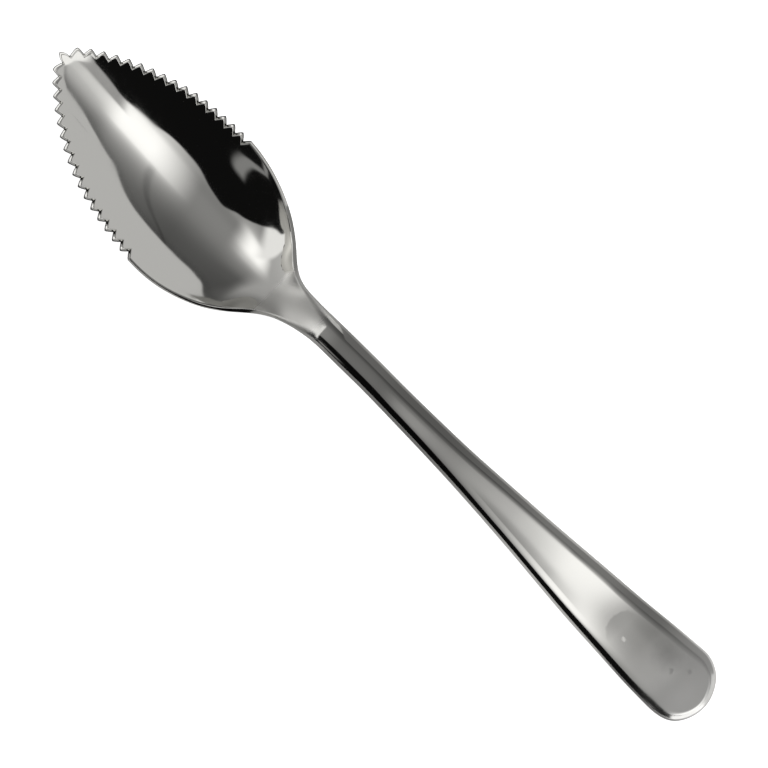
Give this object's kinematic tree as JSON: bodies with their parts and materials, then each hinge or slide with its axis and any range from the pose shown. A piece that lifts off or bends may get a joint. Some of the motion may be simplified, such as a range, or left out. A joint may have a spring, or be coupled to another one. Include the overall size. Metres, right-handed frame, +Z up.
{
  "type": "grapefruit spoon",
  "caption": "Grapefruit spoon in polished stainless steel: a shallow pointed bowl with saw teeth round its front, a narrow shank and a plain handle that widens to a rounded end.",
  "frame": {"origin": "on the table under the middle of the spoon's outline", "axes": "+X along the handle, away from the toothed tip; +Y across, to the left of one who looks along +X from above; +Z up"},
  "size_m": [0.16, 0.03, 0.0107],
  "materials": {
    "stainless_steel": "polished"
  },
  "bodies": {
    "root": {"tip_tooth": "stainless_steel", "serrated_front": "stainless_steel", "bowl_back": "stainless_steel", "neck": "stainless_steel", "shank": "stainless_steel", "handle": "stainless_steel", "handle_end": "stainless_steel"}
  },
  "joints": []
}
